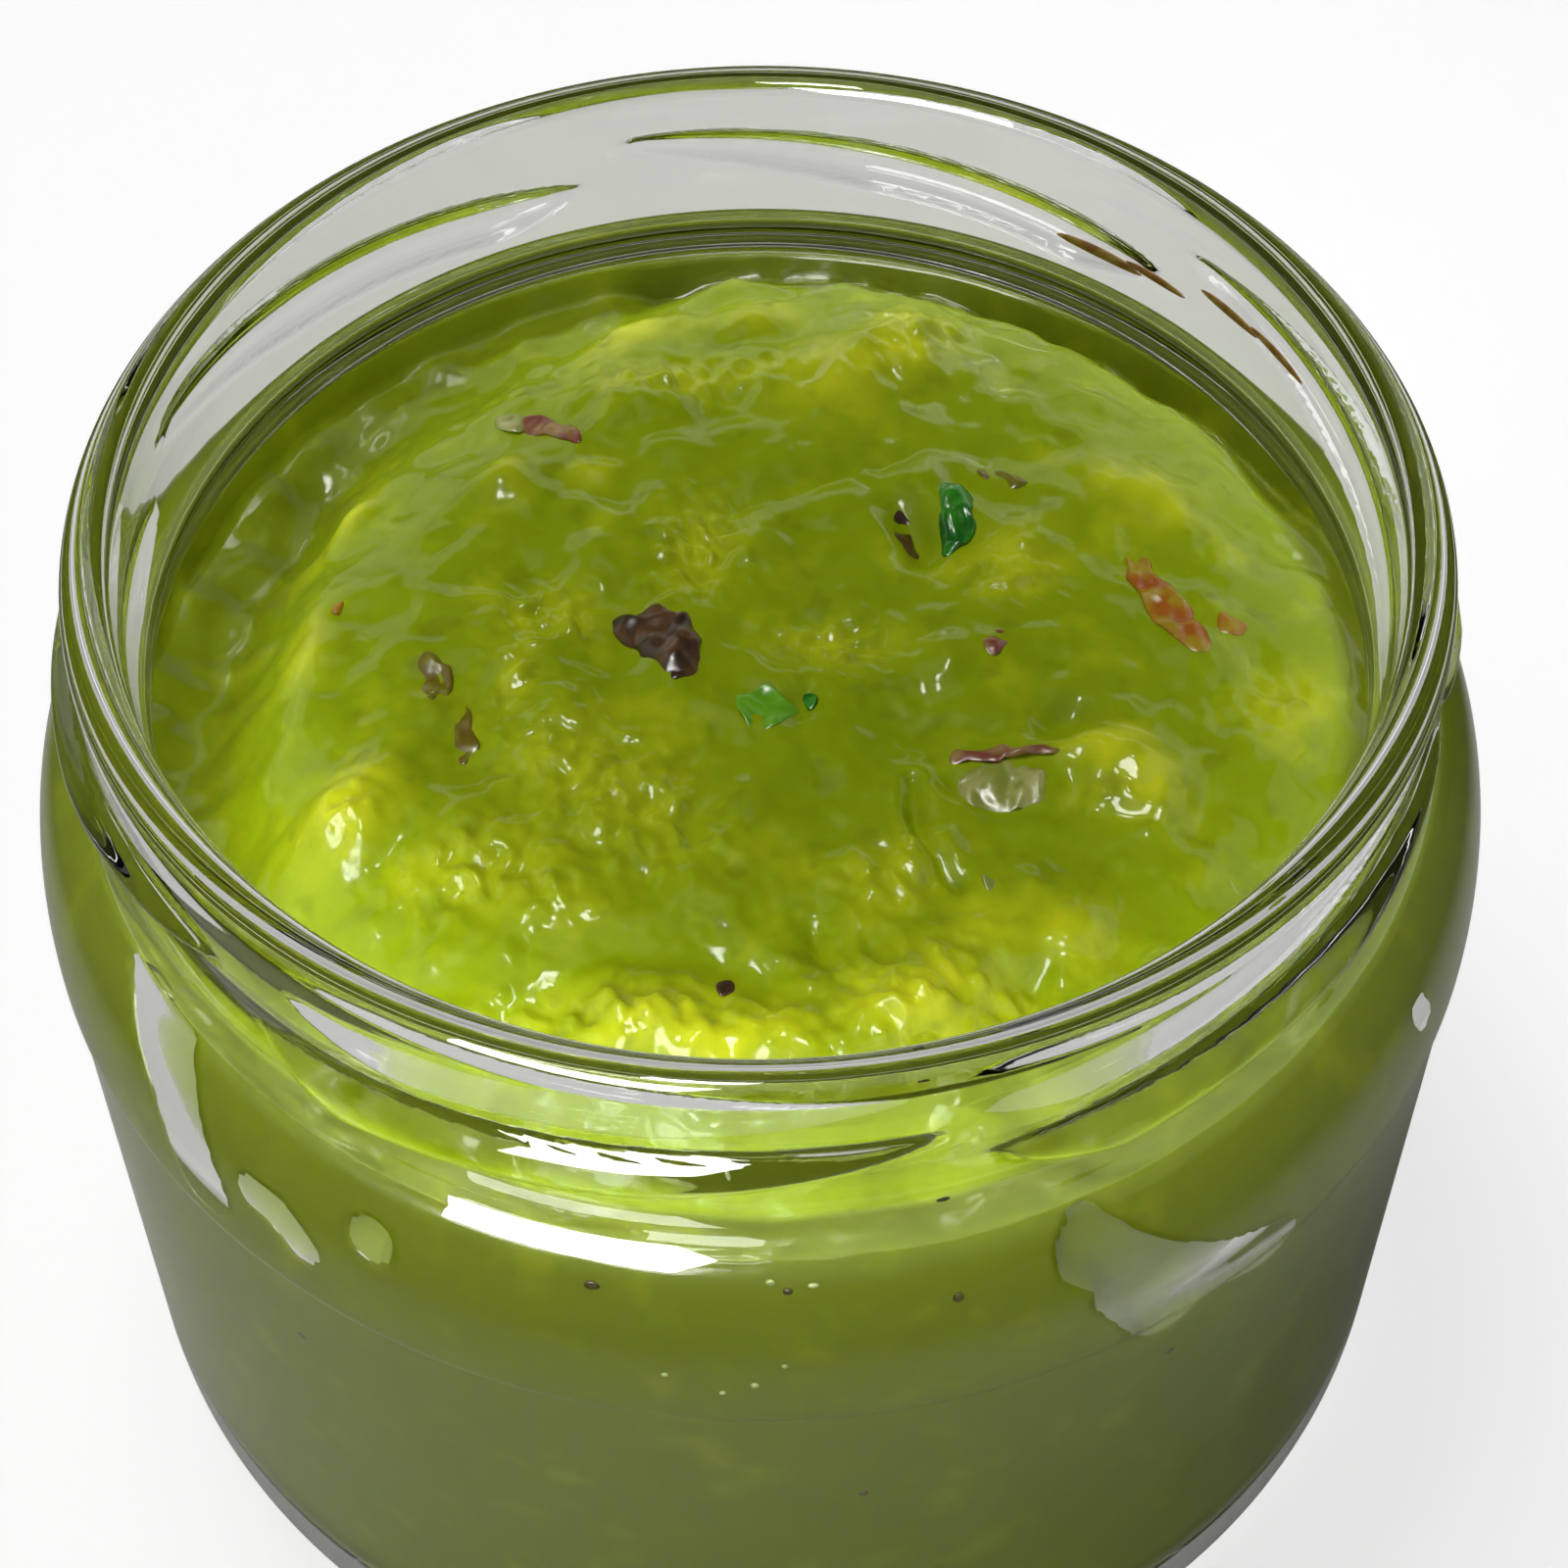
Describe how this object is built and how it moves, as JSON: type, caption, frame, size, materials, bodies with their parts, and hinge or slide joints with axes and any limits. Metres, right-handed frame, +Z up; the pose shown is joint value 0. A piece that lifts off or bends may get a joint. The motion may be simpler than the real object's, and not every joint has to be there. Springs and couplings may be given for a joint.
{
  "type": "jar of guacamole",
  "caption": "Open squat glass jar with a wide lug-finish mouth, filled with smooth guacamole that rises in an uneven mound below the lip.",
  "frame": {"origin": "middle of the ring that the jar stands on, at the bottom of the whole", "axes": "+Z up through the mouth; -Y is the front, the side that is seen; +X to the right from there"},
  "size_m": [0.0864, 0.0864, 0.07],
  "materials": {
    "glass": "clear, polished by the mould, with soft flow lines",
    "guacamole": "moist avocado paste, smooth and glossy, with soft lumps"
  },
  "bodies": {
    "root": {"jar": "glass", "guacamole": "guacamole"}
  },
  "joints": []
}
